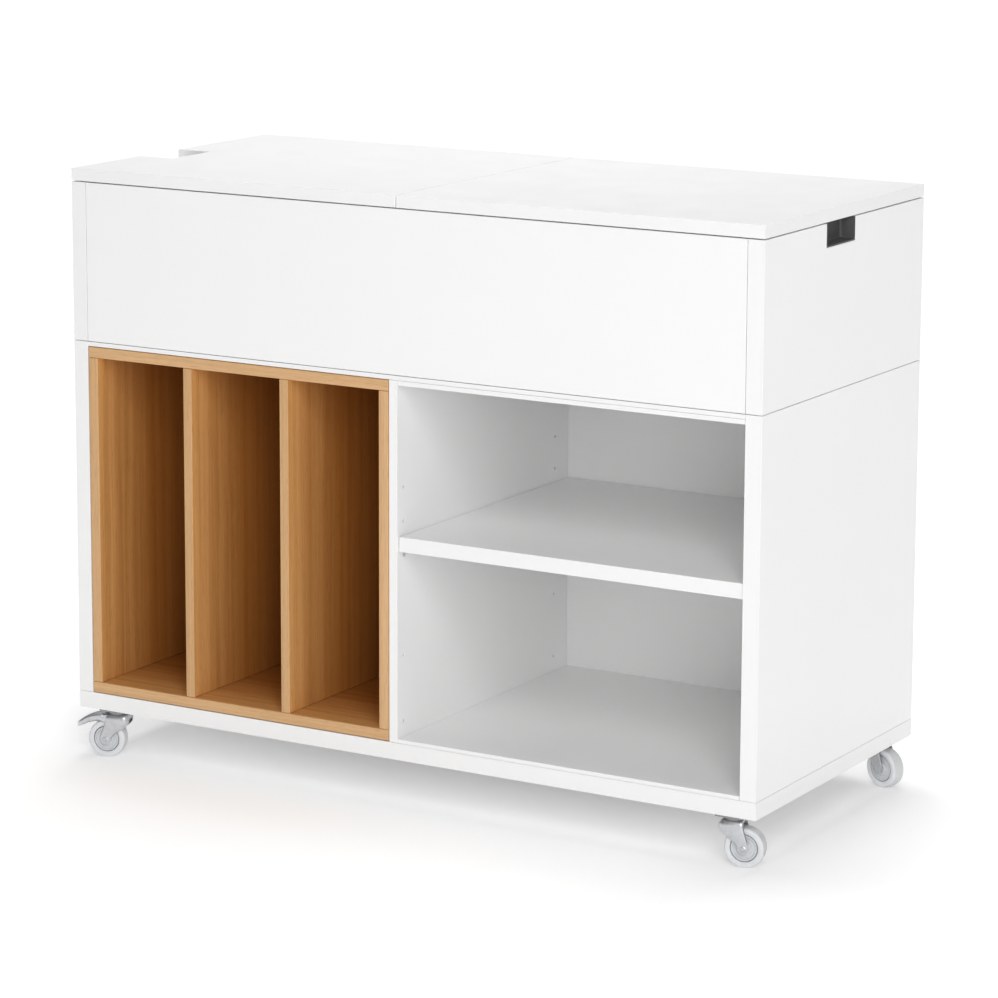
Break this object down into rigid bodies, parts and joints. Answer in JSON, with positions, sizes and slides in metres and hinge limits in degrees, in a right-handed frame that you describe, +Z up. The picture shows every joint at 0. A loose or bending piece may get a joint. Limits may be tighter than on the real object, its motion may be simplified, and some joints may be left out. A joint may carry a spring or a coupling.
{
  "type": "sewing table",
  "caption": "White rolling cabinet table with a fold-over lid over a machine well, an oak divider box, an open bay with a shelf, and swivel castors.",
  "frame": {"origin": "on the floor under the middle of the cabinet", "axes": "+Z up, +X to the right along the cabinet's width seen from the open front, +Y to its back"},
  "size_m": [1.0097, 0.4523, 0.783],
  "materials": {
    "white_board": "white satin laminate on board",
    "oak": "clear satin lacquer on oak veneer",
    "beech": "plain sanded batten",
    "castor_steel": "bright zinc plate",
    "castor_tyre": "light grey soft tread",
    "castor_hub": "moulded grey plastic",
    "shelf_pin": "pale moulded plastic",
    "hinge": "satin zinc alloy",
    "bumper": "soft grey pad",
    "pull_lining": "dark grey moulded plastic"
  },
  "bodies": {
    "cabinet": {"base_board": "white_board", "lower_side_left": "white_board", "lower_side_right": "white_board", "divider_panel": "white_board", "lower_back_panel": "white_board", "bay_ceiling": "white_board", "bay_floor": "white_board", "deck_panel": "white_board", "upper_side_left": "white_board", "upper_side_right": "white_board", "upper_front_panel": "white_board", "upper_back_panel": "white_board", "centre_rail": "white_board", "left_top": "white_board", "oak_top": "oak", "oak_bottom": "oak", "oak_left": "oak", "oak_right": "oak", "oak_back": "oak", "oak_divider_left": "oak", "oak_divider_right": "oak", "shelf_pin_left_front": "shelf_pin", "shelf_pin_left_rear": "shelf_pin", "shelf_pin_right_front": "shelf_pin", "shelf_pin_right_rear": "shelf_pin", "lid_bumper_front": "bumper", "lid_bumper_rear": "bumper", "top_batten_front": "beech", "top_batten_rear": "beech", "hinge_top_half_front": "hinge", "hinge_top_half_rear": "hinge", "castor_plate_front_left": "castor_steel", "castor_plate_front_right": "castor_steel", "castor_plate_rear_left": "castor_steel", "castor_plate_rear_right": "castor_steel", "finger_pull": "pull_lining"},
    "shelf": {"adjustable_shelf": "white_board"},
    "lid": {"right_lid": "white_board", "hinge_lid_half_front": "hinge", "hinge_lid_half_rear": "hinge"},
    "hinge_links": {"hinge_link_front": "hinge", "hinge_link_rear": "hinge"},
    "castor_front_left": {"castor_fork_front_left": "castor_steel", "castor_axle_front_left": "castor_steel"},
    "wheel_front_left": {"castor_hub_front_left": "castor_hub", "castor_tyre_front_left": "castor_tyre"},
    "pedal_front_left": {"brake_pedal_front_left": "castor_steel"},
    "castor_front_right": {"castor_fork_front_right": "castor_steel", "castor_axle_front_right": "castor_steel"},
    "wheel_front_right": {"castor_hub_front_right": "castor_hub", "castor_tyre_front_right": "castor_tyre"},
    "castor_rear_left": {"castor_fork_rear_left": "castor_steel", "castor_axle_rear_left": "castor_steel"},
    "wheel_rear_left": {"castor_hub_rear_left": "castor_hub", "castor_tyre_rear_left": "castor_tyre"},
    "pedal_rear_left": {"brake_pedal_rear_left": "castor_steel"},
    "castor_rear_right": {"castor_fork_rear_right": "castor_steel", "castor_axle_rear_right": "castor_steel"},
    "wheel_rear_right": {"castor_hub_rear_right": "castor_hub", "castor_tyre_rear_right": "castor_tyre"}
  },
  "joints": [
    {"name": "lid_hinge", "type": "hinge", "parent": "cabinet", "child": "lid", "pos_m": [-0.006, 0, 0.7833], "axis": [0, -1, 0], "range_deg": [0, 180]},
    {"name": "hinge_link_turn", "type": "hinge", "parent": "cabinet", "child": "hinge_links", "pos_m": [-0.006, 0, 0.7833], "axis": [0, -1, 0], "range_deg": [0, 90]},
    {"name": "shelf_slide", "type": "slide", "parent": "cabinet", "child": "shelf", "axis": [0, -1, 0], "range_m": [0, 0.4]},
    {"name": "swivel_front_left", "type": "hinge", "parent": "cabinet", "child": "castor_front_left", "pos_m": [-0.452, -0.2025, 0.0585], "axis": [0, 0, 1], "continuous": true},
    {"name": "wheel_front_left_roll", "type": "hinge", "parent": "castor_front_left", "child": "wheel_front_left", "pos_m": [-0.46531, -0.20683, 0.025], "axis": [0.309, -0.9511, 0], "continuous": true},
    {"name": "brake_front_left", "type": "hinge", "parent": "castor_front_left", "child": "pedal_front_left", "pos_m": [-0.47055, -0.20853, 0.0555], "axis": [0.309, -0.9511, 0], "range_deg": [0, 9]},
    {"name": "swivel_front_right", "type": "hinge", "parent": "cabinet", "child": "castor_front_right", "pos_m": [0.462, -0.2025, 0.0585], "axis": [0, 0, 1], "continuous": true},
    {"name": "wheel_front_right_roll", "type": "hinge", "parent": "castor_front_right", "child": "wheel_front_right", "pos_m": [0.47567, -0.19947, 0.025], "axis": [-0.2164, 0.9763, 0], "continuous": true},
    {"name": "swivel_rear_left", "type": "hinge", "parent": "cabinet", "child": "castor_rear_left", "pos_m": [-0.452, 0.2025, 0.0585], "axis": [0, 0, 1], "continuous": true},
    {"name": "wheel_rear_left_roll", "type": "hinge", "parent": "castor_rear_left", "child": "wheel_rear_left", "pos_m": [-0.46586, 0.20445, 0.025], "axis": [-0.1392, -0.9903, 0], "continuous": true},
    {"name": "brake_rear_left", "type": "hinge", "parent": "castor_rear_left", "child": "pedal_rear_left", "pos_m": [-0.47131, 0.20521, 0.0555], "axis": [-0.1392, -0.9903, 0], "range_deg": [0, 9]},
    {"name": "swivel_rear_right", "type": "hinge", "parent": "cabinet", "child": "castor_rear_right", "pos_m": [0.462, 0.2025, 0.0585], "axis": [0, 0, 1], "continuous": true},
    {"name": "wheel_rear_right_roll", "type": "hinge", "parent": "castor_rear_right", "child": "wheel_rear_right", "pos_m": [0.47535, 0.19829, 0.025], "axis": [0.3007, 0.9537, 0], "continuous": true}
  ],
  "couplings": [
    {"joint": "hinge_link_turn", "follows": "lid_hinge", "ratio": 0.5}
  ]
}
